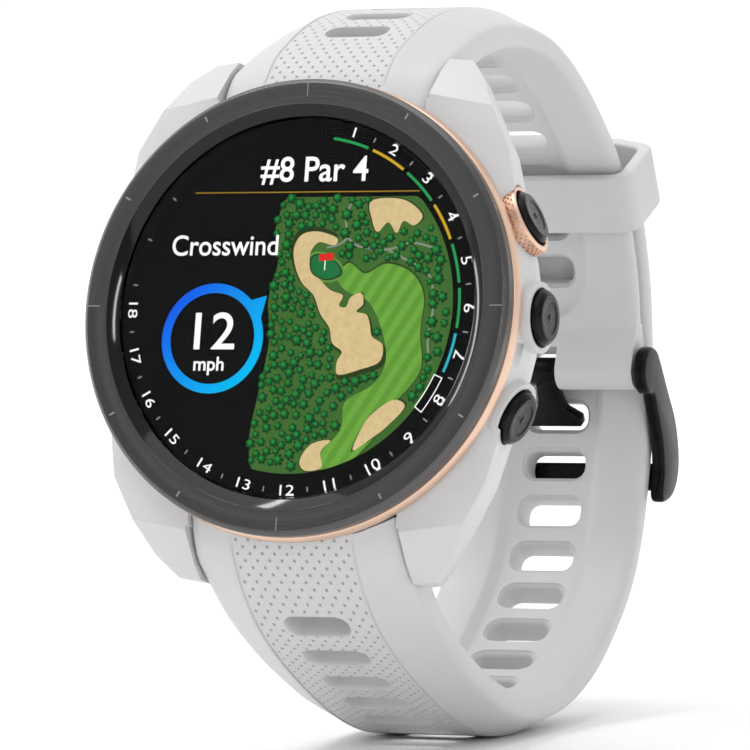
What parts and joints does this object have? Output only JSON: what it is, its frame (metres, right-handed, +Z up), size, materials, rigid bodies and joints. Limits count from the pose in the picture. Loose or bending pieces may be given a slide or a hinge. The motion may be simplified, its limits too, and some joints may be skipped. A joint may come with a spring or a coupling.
{
  "type": "golf gps watch",
  "caption": "Round golf GPS watch with a lit dial, side push buttons and a slotted silicone strap closed by a pin buckle and a keeper, standing on its strap.",
  "frame": {"origin": "middle of the object's base, on the floor under the strap loop", "axes": "+X towards the buttons on the 3 o'clock side, the dial faces -Y and a little up, +Z up"},
  "size_m": [0.0442, 0.0716, 0.0695],
  "materials": {
    "white_polymer": "matte moulded",
    "white_silicone": "matte silicone",
    "grey_ceramic": "dark brushed",
    "rose_gold": "anodised",
    "black_metal": "black coated",
    "clear_glass": "polished",
    "display": "display panel",
    "black_rubber": "matte",
    "steel": "machined",
    "board_green": "solder mask",
    "copper": "plated",
    "gold": "plated",
    "battery_foil": "foil",
    "black_plastic": "moulded"
  },
  "bodies": {
    "watch": {"battery": "battery_foil", "bezel": "grey_ceramic", "buckle_pin": "black_metal", "case_body": "white_polymer", "charge_contact_1": "gold", "charge_contact_2": "gold", "charge_contact_3": "gold", "charge_contact_4": "gold", "charge_port": "black_plastic", "display_panel": "display", "gps_antenna": "copper", "lens": "clear_glass", "lens_gasket": "black_rubber", "long_strap": "white_silicone", "lower_bar_spring": "steel", "lower_bar_tube": "steel", "lower_button_bush": "steel", "lower_button_seal": "black_rubber", "lower_button_spring": "steel", "lower_switch": "black_plastic", "main_board": "board_green", "middle_button_bush": "steel", "middle_button_seal": "black_rubber", "middle_button_spring": "steel", "middle_switch": "black_plastic", "rear_cover": "white_polymer", "rear_gasket": "black_rubber", "rear_screw_1": "steel", "rear_screw_2": "steel", "rear_screw_3": "steel", "rear_screw_4": "steel", "sensor_board": "board_green", "sensor_window": "clear_glass", "shield_can": "steel", "short_strap": "white_silicone", "trim_ring": "rose_gold", "upper_bar_spring": "steel", "upper_bar_tube": "steel", "upper_button_bush": "steel", "upper_button_guard": "rose_gold", "upper_button_seal": "black_rubber", "upper_button_spring": "steel", "upper_switch": "black_plastic", "vibration_motor": "steel"},
    "upper_button": {"upper_button": "black_metal", "upper_button_clip": "steel"},
    "middle_button": {"middle_button": "black_metal", "middle_button_clip": "steel"},
    "lower_button": {"lower_button": "black_metal", "lower_button_clip": "steel"},
    "upper_bar_slider": {"upper_bar_slider": "steel"},
    "lower_bar_slider": {"lower_bar_slider": "steel"},
    "strap_keeper": {"strap_keeper": "white_silicone"},
    "buckle_frame": {"buckle_frame": "black_metal"},
    "buckle_prong": {"buckle_prong": "black_metal"}
  },
  "joints": [
    {"name": "upper_button_press", "type": "slide", "parent": "watch", "child": "upper_button", "axis": [-0.91, -0.0921, -0.4043], "range_m": [0, 0.0008], "stiffness_N_per_m": 1500, "springref_m": -0.0006, "deforming": ["upper_button_spring"]},
    {"name": "middle_button_press", "type": "slide", "parent": "watch", "child": "middle_button", "axis": [-1, 0, 0], "range_m": [0, 0.0008], "stiffness_N_per_m": 1500, "springref_m": -0.0006, "deforming": ["middle_button_spring"]},
    {"name": "lower_button_press", "type": "slide", "parent": "watch", "child": "lower_button", "axis": [-0.91, 0.0921, 0.4043], "range_m": [0, 0.0008], "stiffness_N_per_m": 1500, "springref_m": -0.0006, "deforming": ["lower_button_spring"]},
    {"name": "upper_bar_release", "type": "slide", "parent": "watch", "child": "upper_bar_slider", "axis": [-1, 0, 0], "range_m": [0, 0.0013], "stiffness_N_per_m": 900, "springref_m": -0.001, "deforming": ["upper_bar_spring"]},
    {"name": "lower_bar_release", "type": "slide", "parent": "watch", "child": "lower_bar_slider", "axis": [-1, 0, 0], "range_m": [0, 0.0013], "stiffness_N_per_m": 900, "springref_m": -0.001, "deforming": ["lower_bar_spring"]},
    {"name": "keeper_slide", "type": "slide", "parent": "watch", "child": "strap_keeper", "axis": [0, 0.3935, -0.9193], "range_m": [-0.001, 0.001]},
    {"name": "buckle_swing", "type": "hinge", "parent": "watch", "child": "buckle_frame", "pos_m": [-0.00072, 0.02881, 0.03342], "axis": [1, 0, 0], "range_deg": [0, 90]},
    {"name": "prong_swing", "type": "hinge", "parent": "watch", "child": "buckle_prong", "pos_m": [-0.00072, 0.02881, 0.03342], "axis": [1, 0, 0], "range_deg": [-100, 0]}
  ]
}
